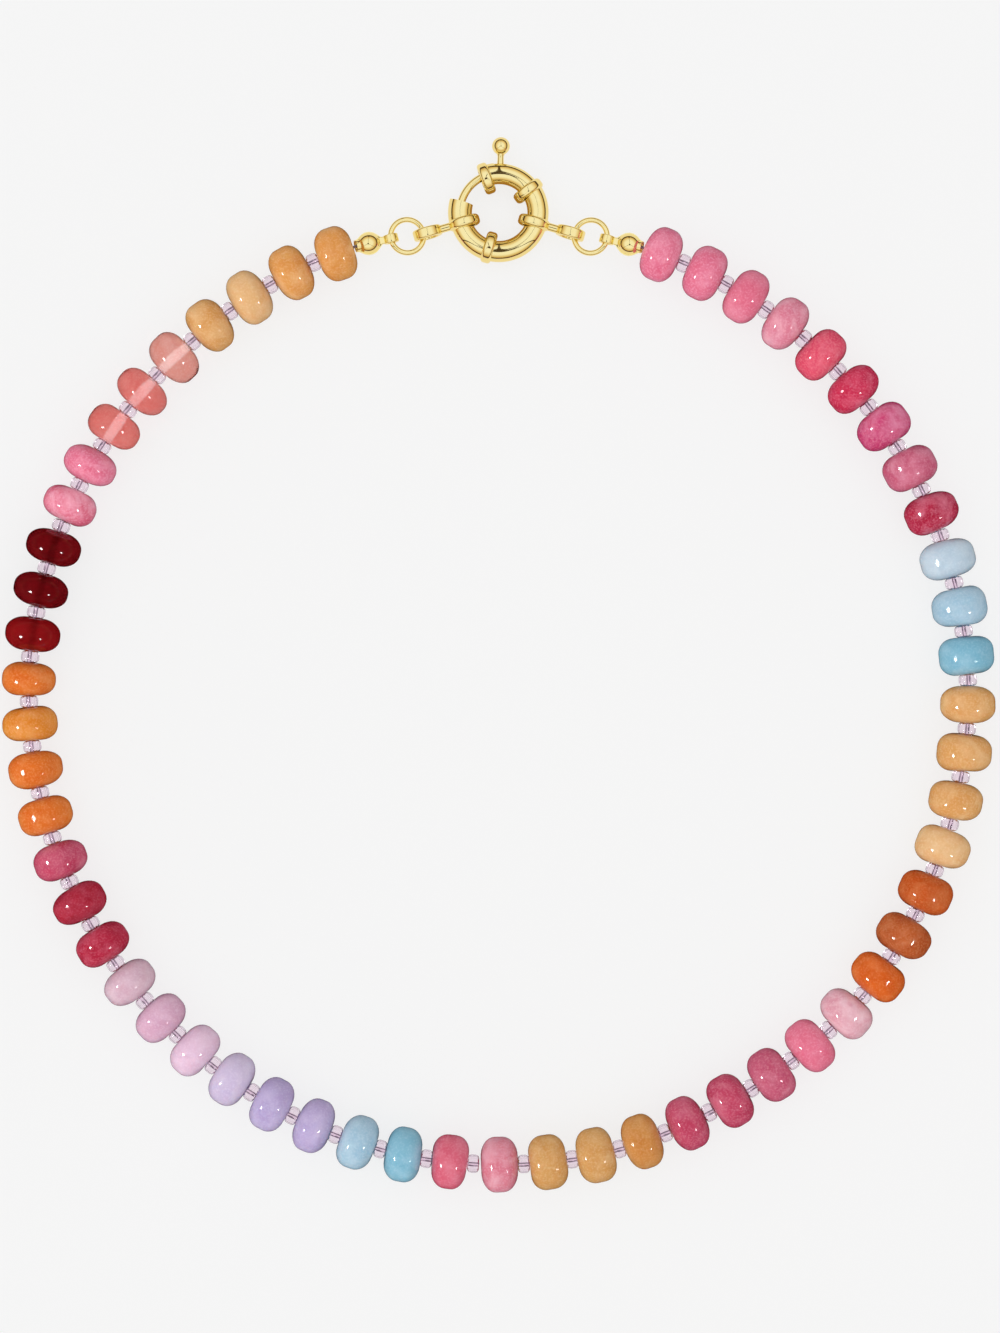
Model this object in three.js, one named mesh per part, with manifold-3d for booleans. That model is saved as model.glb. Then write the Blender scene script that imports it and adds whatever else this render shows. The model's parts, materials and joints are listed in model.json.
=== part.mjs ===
// Beaded necklace, clasped and lying flat. Stone rondelles with small glass beads between them are strung on
// one thread in a closed loop. Each end knot of the thread sits in a hollow bead tip, whose hook holds a jump
// ring, and the two jump rings pass through the eyes of a round spring clasp.
// Millimetres, +Z up, seen from above with the clasp towards +Y. The stones lie on z = 0, and the whole
// necklace's box is centred on the Z axis. Left and right are as seen from above.

import * as THREE from "three";
import { mergeVertices } from "three/addons/utils/BufferGeometryUtils.js";
import Module from "manifold-3d";

const wasm = await Module();
wasm.setup();

// Clearance between pieces that touch or pass through each other
const GAP = 0.3;

// Stones, and the glass beads between them
const STONE_ACROSS = 8;
const STONE_THICK = 5.2;
const STONE_FACE_ACROSS = 4;
const STONE_RIM = 1;
const GLASS_ACROSS = 2.6;
const GLASS_LONG = 1.7;
const THREAD_ACROSS = 0.5;

// The stones of each half, from the clasp down, in stretches of like thickness, a share of STONE_THICK
const LEFT_STONES = [
  { count: 5, thick: 1.03 },
  { count: 9, thick: 0.93 },
  { count: 14, thick: 0.99 },
];
const RIGHT_STONES = [
  { count: 6, thick: 1 },
  { count: 6, thick: 1.05 },
  { count: 16, thick: 1.03 },
];

// Bead tip: a hollow ball over the knot, a lip towards the stones, and a neck with a hook round the jump ring
const TIP_ACROSS = 2.9;
const TIP_WALL = 0.45;
const TIP_LIP_ACROSS = 1.8;
const TIP_LIP_LONG = 0.5;
const TIP_NECK = 0.8;
const HOOK_WALL = 0.4;
const HOOK_WIDE = 1.2;

// Jump ring, measured to the middle of its wire
const RING_ACROSS = 4.85;
const RING_WIRE = 0.8;

// Round spring clasp: the ring's tube, the sleeve that takes the bolt, the wraps round them and the two eyes
const CLASP_RADIUS = 5.7;
const TUBE_ACROSS = 3.1;
const SLEEVE_ACROSS = 3.5;
const WRAP_ACROSS = 4.66;
const WRAP_WIDE = 1.55;
const WRAP_INWARD = 0.4;
const EYE_ACROSS = 4.25;
const EYE_WALL = 0.7;
const EYE_NECK = 1.1;
const EYE_NECK_WIDE = 1.2;

// Angles round the clasp in degrees, counter-clockwise from +X
const EYE_DROP = 16;
const MOUTH = 110.5;
const SLEEVE_START = 164.5;
const LOWER_WRAP = 254;
const UPPER_WRAP = 36.5;
const TRIGGER = 88.3;

// Bolt and trigger: the bolt's reach into the sleeve and behind the trigger, and how far it slides, in degrees
const BOLT_ACROSS = 1.15;
const BOLT_SEATED = 6.5;
const BOLT_TAIL = 18;
const BOLT_TRAVEL = 39;
const SPRING_ROOM = 20;
const STEM_ACROSS = 1;
const KNOB_ACROSS = 2.3;
const KNOB_RADIUS = 9.7;

// The string's route, seen from above, counter-clockwise from the middle of the clasp. It gives the loop's
// shape, and the pieces on the string give its length.
const ROUTE = [
  [0, 63.4],
  [-25, 59],
  [-46, 45.5],
  [-61.2, 25.5],
  [-68.2, 1.5],
  [-65.7, -23.5],
  [-54.3, -46],
  [-35.5, -63],
  [-12.5, -72],
  [13, -72],
  [36, -62.5],
  [55, -46],
  [65.8, -23],
  [68, 1.5],
  [61, 26],
  [45.5, 46],
  [24.5, 59],
];

// Sides of the round pieces, and the longest step round the clasp in degrees
const STONE_SIDES = 12;
const FITTING_SIDES = 12;
const BORE_SIDES = 8;
const WIRE_SIDES = 6;
const RING_STEPS = 16;
const ARC_STEP = 11;
const ROUTE_DIVISIONS = 2000;

// A closed geometry as a solid that can be joined and cut
function solidOf(geometry) {
  const bare = geometry.clone();
  bare.deleteAttribute("normal");
  bare.deleteAttribute("uv");
  const merged = mergeVertices(bare, 1e-4);
  return new wasm.Manifold(
    new wasm.Mesh({
      numProp: 3,
      vertProperties: merged.attributes.position.array,
      triVerts: new Uint32Array(merged.index.array),
    }),
  );
}

function geometryOf(solid) {
  const mesh = solid.getMesh();
  const geometry = new THREE.BufferGeometry();
  geometry.setAttribute("position", new THREE.BufferAttribute(mesh.vertProperties, 3));
  geometry.setIndex(new THREE.BufferAttribute(mesh.triVerts, 1));
  const faceted = geometry.toNonIndexed();
  faceted.computeVertexNormals();
  return faceted;
}

function joined(geometries) {
  return geometries.map(solidOf).reduce((whole, piece) => whole.add(piece));
}

// A turned shape along +X from a profile of [distance along, radius]
function turned(profile, sides) {
  const points = profile.map(([along, radius]) => new THREE.Vector2(radius, along));
  return new THREE.LatheGeometry(points, sides, Math.PI / sides).rotateZ(-Math.PI / 2);
}

// A flat ring whose hole runs along Y, with its edges broken
function band(across, wall, wide, sides) {
  const outer = across / 2;
  const inner = outer - wall;
  const edge = wall / 4;
  const profile = [
    [-wide / 2, inner],
    [-wide / 2, outer - edge],
    [edge - wide / 2, outer],
    [wide / 2 - edge, outer],
    [wide / 2, outer - edge],
    [wide / 2, inner],
    [-wide / 2, inner],
  ];
  return turned(profile, sides).rotateZ(Math.PI / 2);
}

// The pieces of one half of the string, in order from the clasp. Each has its profile of [along, radius]
// about its own middle, and its length along the string.
function stoneProfile(thick) {
  const face = STONE_FACE_ACROSS / 2;
  const rim = STONE_RIM / 2;
  const corner = [0, 45, 90].map((turn) => {
    const angle = THREE.MathUtils.degToRad(turn);
    const along = rim + (thick / 2 - rim) * Math.cos(angle);
    return [along, face + (STONE_ACROSS / 2 - face) * Math.sin(angle)];
  });
  return [...corner.map(([along, radius]) => [-along, radius]), ...corner.reverse()];
}

function rodProfile(long, radius) {
  return [
    [-long / 2, radius],
    [long / 2, radius],
  ];
}

const tipCavity = TIP_ACROSS / 2 - TIP_WALL;
const knotRadius = tipCavity - GAP;

function halfString(stretches, glassAtEnd) {
  const threadLong = TIP_ACROSS / 2 + TIP_LIP_LONG + GAP - knotRadius;
  const pieces = [
    { long: 2 * knotRadius, profile: rodProfile(knotRadius, knotRadius), inTip: true },
    { long: threadLong, profile: rodProfile(threadLong, THREAD_ACROSS / 2) },
  ];
  const glass = { long: GLASS_LONG, profile: rodProfile(GLASS_LONG, GLASS_ACROSS / 2) };
  for (const { count, thick } of stretches) {
    for (let i = 0; i < count; i += 1) {
      const long = thick * STONE_THICK;
      pieces.push({ long, profile: stoneProfile(long) }, { ...glass });
    }
  }
  return glassAtEnd ? pieces : pieces.slice(0, -1);
}

// Stations: distances along the route from its start at the middle of the clasp
const hookRadius = RING_WIRE / 2 + GAP + HOOK_WALL;
const eyeRadius = CLASP_RADIUS - WRAP_INWARD + WRAP_ACROSS / 2 + EYE_NECK + EYE_ACROSS / 2;
const eyeDrop = THREE.MathUtils.degToRad(EYE_DROP);
const eyeStation = eyeRadius * Math.cos(eyeDrop);
const ringSag = WRAP_WIDE ** 2 / 4 / RING_ACROSS;
const wireInEye = EYE_ACROSS / 2 - EYE_WALL - RING_WIRE / 2 - GAP - ringSag;
const ringStation = eyeStation + wireInEye + RING_ACROSS / 2;
const hookStation = ringStation + RING_ACROSS / 2;
const tipStation = hookStation + hookRadius + TIP_NECK + TIP_ACROSS / 2;
const stoneStation = tipStation + TIP_ACROSS / 2 + TIP_LIP_LONG + GAP;

const leftPieces = halfString(LEFT_STONES, true);
const rightPieces = halfString(RIGHT_STONES, false);
const stringLong = [...leftPieces, ...rightPieces].reduce((sum, piece) => sum + piece.long, 0);
const loopLong = 2 * (tipStation - knotRadius) + stringLong + GAP;

function routeOf(scale) {
  const points = ROUTE.map(([x, y]) => new THREE.Vector3(x * scale, y * scale, 0));
  const curve = new THREE.CatmullRomCurve3(points, true, "catmullrom", 0.5);
  curve.arcLengthDivisions = ROUTE_DIVISIONS;
  return curve;
}
const route = routeOf(loopLong / routeOf(1).getLength());

// A spot on the route of the left half (side -1) or the right half (side 1). The fittings lie low, and the
// string climbs from them to the height of a stone's middle.
const claspHeight = WRAP_ACROSS / 2;

function spotAt(side, station) {
  const share = station / loopLong;
  const spot = route.getPointAt(side < 0 ? share : 1 - share);
  const climb = THREE.MathUtils.smoothstep(station, eyeStation, stoneStation);
  return spot.setZ(THREE.MathUtils.lerp(claspHeight, STONE_ACROSS / 2, climb));
}

// The place of a rigid piece some way from one spot towards another: its X axis points that way, away from
// the clasp, its Y axis lies level and its Z axis points up
function placeBetween(from, to, distance) {
  const along = to.clone().sub(from).normalize();
  const across = new THREE.Vector3(0, 0, 1).cross(along).normalize();
  const up = along.clone().cross(across);
  const spot = from.clone().addScaledVector(along, distance);
  return new THREE.Matrix4().makeBasis(along, across, up).setPosition(spot);
}

function placeAt(side, station) {
  const reach = STONE_RIM / 2;
  return placeBetween(spotAt(side, station - reach), spotAt(side, station + reach), reach);
}

// The clasp lies a little above the line of its eyes. From each eye the pull of the string sets the places
// of the jump ring and the bead tip.
const claspSpot = spotAt(-1, eyeStation).add(spotAt(1, eyeStation)).divideScalar(2);
claspSpot.y += eyeRadius * Math.sin(eyeDrop);

function ringPlace(side) {
  const eyeOffset = new THREE.Vector3(side * Math.cos(eyeDrop), -Math.sin(eyeDrop), 0);
  const eyeSpot = claspSpot.clone().addScaledVector(eyeOffset, eyeRadius);
  return placeBetween(eyeSpot, spotAt(side, hookStation), ringStation - eyeStation);
}

function tipPlace(side) {
  const hookSpot = new THREE.Vector3(RING_ACROSS / 2, 0, 0).applyMatrix4(ringPlace(side));
  return placeBetween(hookSpot, spotAt(side, tipStation), tipStation - hookStation);
}

// The pieces are turned as one straight body, and then each piece's rings are carried to its place
function stringGeometry(side, pieces) {
  const profile = [];
  const owners = [];
  let station = tipStation - knotRadius;
  for (const piece of pieces) {
    const middle = station + piece.long / 2;
    const owner = { middle, place: piece.inTip ? tipPlace(side) : placeAt(side, middle) };
    for (const [along, radius] of piece.profile) {
      profile.push([owner.middle + along, radius / Math.cos(Math.PI / STONE_SIDES)]);
      owners.push(owner);
    }
    station += piece.long;
  }
  profile.unshift([profile[0][0], 0]);
  profile.push([profile.at(-1)[0], 0]);
  owners.unshift(owners[0]);
  owners.push(owners.at(-1));

  const geometry = turned(profile, STONE_SIDES);
  const position = geometry.attributes.position;
  const vertex = new THREE.Vector3();
  for (let i = 0; i < position.count; i += 1) {
    const owner = owners[i % owners.length];
    vertex.fromBufferAttribute(position, i);
    vertex.x -= owner.middle;
    vertex.applyMatrix4(owner.place);
    position.setXYZ(i, vertex.x, vertex.y, vertex.z);
  }
  geometry.computeVertexNormals();
  return geometry;
}

// Hollow bead tip about the middle of its ball, with its mouth towards +X and its hook at -X
function beadTipGeometry() {
  const hole = THREAD_ACROSS / 2 + GAP;
  const lip = TIP_LIP_ACROSS / 2;
  const onBall = (radius, turn) => {
    const angle = THREE.MathUtils.degToRad(turn);
    return [-radius * Math.cos(angle), radius * Math.sin(angle)];
  };
  const lipTurn = 180 - THREE.MathUtils.radToDeg(Math.asin((0.8 * lip) / (TIP_ACROSS / 2)));
  const holeTurn = 180 - THREE.MathUtils.radToDeg(Math.asin(hole / tipCavity));
  const profile = [
    ...[0, 30, 60, 90, 115].map((turn) => onBall(TIP_ACROSS / 2, turn)),
    onBall(TIP_ACROSS / 2, lipTurn),
    [TIP_ACROSS / 2 + TIP_LIP_LONG, lip],
    [TIP_ACROSS / 2 + TIP_LIP_LONG, hole],
    onBall(tipCavity, holeTurn),
    ...[120, 90, 60, 30, 0].map((turn) => onBall(tipCavity, turn)),
  ];
  const neckLong = TIP_NECK + TIP_WALL / 2 + HOOK_WALL / 2;
  const neck = new THREE.BoxGeometry(neckLong, HOOK_WIDE, HOOK_WALL);
  neck.translate((TIP_WALL - HOOK_WALL) / 4 - TIP_ACROSS / 2 - TIP_NECK / 2, 0, 0);
  const hook = band(2 * hookRadius, HOOK_WALL, HOOK_WIDE, FITTING_SIDES);
  hook.translate(hookStation - tipStation, 0, 0);
  return geometryOf(joined([turned(profile, FITTING_SIDES), neck, hook]));
}

// The middle line of a tube round the clasp, between two angles in degrees
class ClaspArc extends THREE.Curve {
  constructor(from, to) {
    super();
    this.from = from;
    this.to = to;
  }

  getPoint(share, spot = new THREE.Vector3()) {
    const angle = THREE.MathUtils.degToRad(THREE.MathUtils.lerp(this.from, this.to, share));
    return spot.set(CLASP_RADIUS * Math.cos(angle), CLASP_RADIUS * Math.sin(angle), 0);
  }
}

function arcTube(from, to, radius, sides) {
  const corners = Array.from({ length: sides }, (_, i) => {
    const angle = ((i + 0.5) / sides) * 2 * Math.PI;
    return new THREE.Vector2(radius * Math.cos(angle), radius * Math.sin(angle));
  });
  return new THREE.ExtrudeGeometry(new THREE.Shape(corners), {
    steps: Math.ceil(Math.abs(to - from) / ARC_STEP),
    extrudePath: new ClaspArc(from, to),
    bevelEnabled: false,
  });
}

// A piece made at the clasp's middle, moved out along +X and turned to its angle
function roundClasp(geometry, distance, degrees) {
  return geometry.translate(distance, 0, 0).rotateZ(THREE.MathUtils.degToRad(degrees));
}

function wrap(degrees) {
  const outer = WRAP_ACROSS / 2;
  const edge = WRAP_WIDE / 5;
  const profile = [
    [-WRAP_WIDE / 2, 0],
    [-WRAP_WIDE / 2, outer - edge],
    [edge - WRAP_WIDE / 2, outer],
    [WRAP_WIDE / 2 - edge, outer],
    [WRAP_WIDE / 2, outer - edge],
    [WRAP_WIDE / 2, 0],
  ];
  const disc = turned(profile, FITTING_SIDES).rotateZ(Math.PI / 2);
  return roundClasp(disc, CLASP_RADIUS - WRAP_INWARD, degrees);
}

function eye(degrees) {
  const ring = band(EYE_ACROSS, EYE_WALL, WRAP_WIDE, RING_STEPS);
  const neckLong = EYE_NECK + EYE_WALL;
  const neck = new THREE.BoxGeometry(neckLong, EYE_NECK_WIDE, EYE_NECK_WIDE);
  const neckRadius = eyeRadius - EYE_ACROSS / 2 - EYE_NECK / 2;
  return [roundClasp(ring, eyeRadius, degrees), roundClasp(neck, neckRadius, degrees)];
}

// The slot in the tube's outer wall that the trigger's stem slides along
function triggerSlot() {
  const half = STEM_ACROSS / 2 + GAP;
  const spread = THREE.MathUtils.radToDeg(half / CLASP_RADIUS);
  const from = THREE.MathUtils.degToRad(TRIGGER - BOLT_TRAVEL - spread);
  const to = THREE.MathUtils.degToRad(TRIGGER + spread);
  const sector = new THREE.Shape();
  sector.absarc(0, 0, CLASP_RADIUS + TUBE_ACROSS, from, to, false);
  sector.absarc(0, 0, CLASP_RADIUS, to, from, true);
  const options = { depth: 2 * half, bevelEnabled: false, curveSegments: 6 };
  return new THREE.ExtrudeGeometry(sector, options).translate(0, 0, -half);
}

function claspBodyGeometry() {
  const boltBore = (BOLT_ACROSS / 2 + GAP) / Math.cos(Math.PI / BORE_SIDES);
  const leftEye = 180 + EYE_DROP;
  const boltEnd = TRIGGER - BOLT_TAIL - BOLT_TRAVEL;
  const gapMiddle = (MOUTH + SLEEVE_START) / 2;
  const socketEnd = SLEEVE_START + BOLT_SEATED + THREE.MathUtils.radToDeg(GAP / CLASP_RADIUS);
  const body = joined([
    arcTube(MOUTH, leftEye - 360, TUBE_ACROSS / 2, FITTING_SIDES),
    arcTube(SLEEVE_START, leftEye, SLEEVE_ACROSS / 2, FITTING_SIDES),
    ...[MOUTH, UPPER_WRAP, -EYE_DROP, leftEye, LOWER_WRAP].map(wrap),
    ...eye(-EYE_DROP),
    ...eye(leftEye),
  ]);
  const hollow = joined([
    arcTube(gapMiddle, boltEnd - SPRING_ROOM, boltBore, BORE_SIDES),
    arcTube(gapMiddle, socketEnd, boltBore, BORE_SIDES),
    triggerSlot(),
  ]);
  return geometryOf(body.subtract(hollow));
}

function claspBoltGeometry() {
  const stem = new THREE.CylinderGeometry(STEM_ACROSS / 2, STEM_ACROSS / 2, KNOB_RADIUS - CLASP_RADIUS, 8);
  stem.rotateZ(-Math.PI / 2);
  return geometryOf(
    joined([
      arcTube(TRIGGER - BOLT_TAIL, SLEEVE_START + BOLT_SEATED, BOLT_ACROSS / 2, BORE_SIDES),
      roundClasp(stem, (KNOB_RADIUS + CLASP_RADIUS) / 2, TRIGGER),
      roundClasp(new THREE.SphereGeometry(KNOB_ACROSS / 2, 12, 8), KNOB_RADIUS, TRIGGER),
    ]),
  );
}

// Finishes
const stoneFinish = { roughness: 0.2, metalness: 0 };
const giltFinish = { color: 0xd9b36a, roughness: 0.18, metalness: 1 };

function piece(name, geometry, finish) {
  const mesh = new THREE.Mesh(geometry, new THREE.MeshStandardMaterial(finish));
  mesh.name = name;
  return mesh;
}

const clasp = new THREE.Group();
clasp.add(piece("clasp_body", claspBodyGeometry(), giltFinish));
clasp.add(piece("clasp_bolt", claspBoltGeometry(), giltFinish));
clasp.position.copy(claspSpot);

const necklace = new THREE.Group();
necklace.add(clasp);
necklace.add(piece("stone_string_left", stringGeometry(-1, leftPieces), { color: 0xcf6f5d, ...stoneFinish }));
necklace.add(piece("stone_string_right", stringGeometry(1, rightPieces), { color: 0xd68a6a, ...stoneFinish }));
for (const [side, name] of [
  [-1, "left"],
  [1, "right"],
]) {
  const ring = new THREE.TorusGeometry(RING_ACROSS / 2, RING_WIRE / 2, WIRE_SIDES, RING_STEPS);
  ring.applyMatrix4(ringPlace(side));
  necklace.add(piece("jump_ring_" + name, ring, giltFinish));
  const tip = beadTipGeometry().applyMatrix4(tipPlace(side));
  necklace.add(piece("bead_tip_" + name, tip, giltFinish));
}

const box = new THREE.Box3().setFromObject(necklace);
necklace.position.set(-(box.min.x + box.max.x) / 2, -(box.min.y + box.max.y) / 2, -box.min.z);

export default necklace;
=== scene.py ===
import bisect
import json
import math
import random

import bmesh
import bpy
from mathutils import Matrix, Vector, geometry, noise


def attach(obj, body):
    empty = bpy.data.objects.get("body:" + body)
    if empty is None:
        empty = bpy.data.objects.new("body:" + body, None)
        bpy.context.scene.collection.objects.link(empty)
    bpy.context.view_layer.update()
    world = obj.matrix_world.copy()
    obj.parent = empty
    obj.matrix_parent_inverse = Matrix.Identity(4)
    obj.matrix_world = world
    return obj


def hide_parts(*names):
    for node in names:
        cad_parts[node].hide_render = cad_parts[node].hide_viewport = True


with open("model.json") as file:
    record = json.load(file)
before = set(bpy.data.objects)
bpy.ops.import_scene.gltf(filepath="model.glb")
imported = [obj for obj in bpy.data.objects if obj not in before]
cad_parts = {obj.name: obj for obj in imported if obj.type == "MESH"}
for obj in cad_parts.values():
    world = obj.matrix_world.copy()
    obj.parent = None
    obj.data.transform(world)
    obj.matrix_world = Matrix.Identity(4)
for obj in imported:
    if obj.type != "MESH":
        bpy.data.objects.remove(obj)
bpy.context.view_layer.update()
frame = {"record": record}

# Beaded necklace, clasped and lying flat, seen from straight above. Everything is in metres, in the row's
# frame: +Z up from the floor, +Y towards the clasp. Sizes are written in millimetres times MM.
MM = 0.001

# Camera: a long lens straight above the middle of the loop, so that the stones at the edges hardly lean.
# The picture is 193.95 mm high at the height of the stones' middles.
STONE_MIDDLE = 4 * MM
PICTURE_HIGH = 193.95 * MM
lens = bpy.data.cameras.new("camera")
lens.lens = 100
lens.sensor_width = 36
camera = bpy.data.objects.new("camera", lens)
camera.location = (0.22 * MM, -0.33 * MM, STONE_MIDDLE + PICTURE_HIGH * lens.lens / lens.sensor_width)
bpy.context.collection.objects.link(camera)
bpy.context.scene.camera = camera
bpy.context.scene.view_settings.view_transform = "Standard"


# Light table: the necklace lies on a white opal acrylic sheet that is lit from below. The sheet gives light
# of its own, so the shadows on it are faint, and it shows in no reflection, which leaves the stones a thin
# dark contour. Both are as in the photograph.
def linear(code):
    """An sRGB hex colour as the linear colour that Blender's sockets take."""
    parts = [int(code[i : i + 2], 16) / 255 for i in (1, 3, 5)]
    return [c / 12.92 if c <= 0.04045 else ((c + 0.055) / 1.055) ** 2.4 for c in parts] + [1]


def new_material(name):
    material = bpy.data.materials.new(name)
    material.use_nodes = True
    material.node_tree.nodes.clear()
    return material, material.node_tree


def add(tree, kind, inputs=None, **settings):
    """A node with its settings. An input is given a value or another node's output."""
    node = tree.nodes.new(kind)
    for name, value in settings.items():
        setattr(node, name, value)
    for name, value in (inputs or {}).items():
        if isinstance(value, bpy.types.NodeSocket):
            tree.links.new(value, node.inputs[name])
        else:
            node.inputs[name].default_value = value
    return node


def make_piece(name, bm, *materials, sharp=35):
    """Turns the finished bmesh into an object with its place in its mesh. Edges over sharp stay crisp."""
    mesh = bpy.data.meshes.new(name)
    bm.to_mesh(mesh)
    bm.free()
    for material in materials:
        mesh.materials.append(material)
    mesh.polygons.foreach_set("use_smooth", [True] * len(mesh.polygons))
    mesh.set_sharp_from_angle(angle=math.radians(sharp))
    piece = bpy.data.objects.new(name, mesh)
    bpy.context.collection.objects.link(piece)
    return piece


opal_acrylic, tree = new_material("opal_acrylic")
# Lit opal acrylic is an even white with no grain; the little that it scatters itself holds the shadows.
table = add(tree, "ShaderNodeBsdfPrincipled", {
    "Base Color": linear("#7c7c7c"), "Roughness": 0.6, "Specular IOR Level": 0.1,
    "Emission Color": linear("#f6f6f6"), "Emission Strength": 0.832,
})
add(tree, "ShaderNodeOutputMaterial", {"Surface": table.outputs[0]})

TABLE_ACROSS = 6
bm = bmesh.new()
bmesh.ops.create_circle(bm, cap_ends=True, segments=64, radius=TABLE_ACROSS / 2)
bmesh.ops.translate(bm, verts=bm.verts, vec=(0, 0, -0.08 * MM))
light_table = make_piece("light_table", bm, opal_acrylic)
light_table.visible_glossy = False

# Softboxes: three large cloths with cut corners stand round the camera as one dome. Polished metal shows the
# dark gaps between them as a thin three-pointed star, the opening for the camera as its middle, and the gap
# under them as a dark contour. Each cloth is warmer and darker towards its foot, which gives the gold its
# amber sides. The stones in the photograph show no star, so the softboxes are linked to the metal alone.
DOME_RADIUS = 1.3
DOME_GAP = 0.045
DOME_CORNER = 0.12
DOME_EYE = math.radians(7)
DOME_LEAN = math.radians(3)
DOME_FOOT = math.radians(77)
metal = bpy.data.collections.new("lit_by_softboxes")
softbox_cloth, tree = new_material("softbox_cloth")
place = add(tree, "ShaderNodeTexCoord").outputs["Object"]
height = add(tree, "ShaderNodeSeparateXYZ", {0: place}).outputs["Z"]
fall = add(tree, "ShaderNodeMapRange", {"Value": height, "From Max": DOME_RADIUS})
fade = add(tree, "ShaderNodeValToRGB", {0: fall.outputs[0]})
for spot, code in ((0.15, "#b98d4c"), (0.35, "#d9bd8a"), (0.55, "#efdfc0"), (0.8, "#ffffff")):
    fade.color_ramp.elements.new(spot).color = linear(code)
cloth = add(tree, "ShaderNodeEmission", {"Color": fade.outputs[0], "Strength": 0.97})
add(tree, "ShaderNodeOutputMaterial", {"Surface": cloth.outputs[0]})


def keep_above(bm, spot, up):
    """Cuts the bmesh by a plane and keeps the side that up points to."""
    bmesh.ops.bisect_plane(bm, geom=bm.verts[:] + bm.edges[:] + bm.faces[:], plane_co=spot, plane_no=up,
                           clear_inner=True)


for name, middle in (("softbox_left", 150), ("softbox_right", 30), ("softbox_front", 270)):
    bm = bmesh.new()
    bmesh.ops.create_uvsphere(bm, u_segments=72, v_segments=48, radius=DOME_RADIUS)
    for edge, facing in ((middle - 60, 90), (middle + 60, -90)):
        inward = Vector((math.cos(math.radians(edge + facing)), math.sin(math.radians(edge + facing)), 0))
        foot = Vector((0, 0, DOME_RADIUS * math.cos(DOME_FOOT)))
        keep_above(bm, inward * DOME_GAP / 2, inward)
        keep_above(bm, inward * DOME_CORNER + foot, inward + Vector((0, 0, 1)))
    keep_above(bm, (0, 0, DOME_RADIUS * math.cos(DOME_EYE)), (0, 0, -1))
    bmesh.ops.rotate(bm, verts=bm.verts, matrix=Matrix.Rotation(DOME_LEAN, 3, "X"))
    keep_above(bm, (0, 0, DOME_RADIUS * math.cos(DOME_FOOT)), (0, 0, 1))
    softbox = make_piece(name, bm, softbox_cloth, sharp=80)
    softbox.visible_camera = softbox.visible_diffuse = softbox.visible_transmission = False
    softbox.light_linking.receiver_collection = metal

# Bowl: the metal alone does show the table, as a pale rim outside the dark contour. A pale bowl that starts a
# little below the horizon stands for the table there.
BOWL_RIM = -0.06
bowl_cloth, tree = new_material("bowl_cloth")
cloth = add(tree, "ShaderNodeEmission", {"Color": linear("#fff4dc"), "Strength": 0.9})
add(tree, "ShaderNodeOutputMaterial", {"Surface": cloth.outputs[0]})
bm = bmesh.new()
bmesh.ops.create_uvsphere(bm, u_segments=48, v_segments=32, radius=DOME_RADIUS)
keep_above(bm, (0, 0, BOWL_RIM), (0, 0, -1))
bowl = make_piece("pale_bowl", bm, bowl_cloth, sharp=80)
bowl.visible_camera = bowl.visible_diffuse = bowl.visible_transmission = False
bowl.light_linking.receiver_collection = metal

# Gold card: a round card lies inside the clasp's ring, and only the metal sees it. It keeps the inner side of
# the ring amber, as it is in the photograph.
gilt_card, tree = new_material("gilt_card")
card = add(tree, "ShaderNodeEmission", {"Color": linear("#d9a040"), "Strength": 0.55})
add(tree, "ShaderNodeOutputMaterial", {"Surface": card.outputs[0]})
CARD_RADIUS = 4.4 * MM
card_spot = Vector(frame["record"]["behaviour"]["joints"][0]["pos_m"])
card_spot.z = 0.02 * MM
bm = bmesh.new()
bmesh.ops.create_circle(bm, cap_ends=True, segments=48, radius=CARD_RADIUS)
bmesh.ops.translate(bm, verts=bm.verts, vec=card_spot)
gold_card = make_piece("gold_card", bm, gilt_card)
gold_card.visible_camera = gold_card.visible_diffuse = gold_card.visible_transmission = False
gold_card.visible_shadow = False
gold_card.light_linking.receiver_collection = metal

# Plain cloth: outside the softboxes one even dome of white cloth, open at the foot, scatters light over
# everything. It shows in no reflection.
PLAIN_RADIUS = DOME_RADIUS * 1.1
PLAIN_FOOT = 0.05
white_cloth, tree = new_material("white_cloth")
cloth = add(tree, "ShaderNodeEmission", {"Color": linear("#ffffff"), "Strength": 0.95})
add(tree, "ShaderNodeOutputMaterial", {"Surface": cloth.outputs[0]})
bm = bmesh.new()
bmesh.ops.create_uvsphere(bm, u_segments=48, v_segments=32, radius=PLAIN_RADIUS)
keep_above(bm, (0, 0, PLAIN_FOOT), (0, 0, 1))
plain_cloth = make_piece("plain_cloth", bm, white_cloth, sharp=80)
plain_cloth.visible_camera = plain_cloth.visible_glossy = False

# Lamps: two small round lamps low on the left and on the right give each stone its pair of bright points.
# They are linked to the stones and the glass alone, which keeps them off the metal and the table.
LAMP_AWAY = 1.1
strung = bpy.data.collections.new("lit_by_lamps")
for name, towards, across, watts in (
    ("lamp_left", (-0.757, -0.2, 0.63), 0.23, 4.6), ("lamp_right", (0.58, -0.4, 0.72), 0.17, 1.75),
):
    light = bpy.data.lights.new(name, "AREA")
    light.shape = "DISK"
    light.size = across
    light.energy = watts
    lamp = bpy.data.objects.new(name, light)
    lamp.location = Vector(towards).normalized() * LAMP_AWAY
    lamp.rotation_euler = Vector(towards).to_track_quat("Z", "Y").to_euler()
    lamp.light_linking.receiver_collection = strung
    bpy.context.collection.objects.link(lamp)

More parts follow.
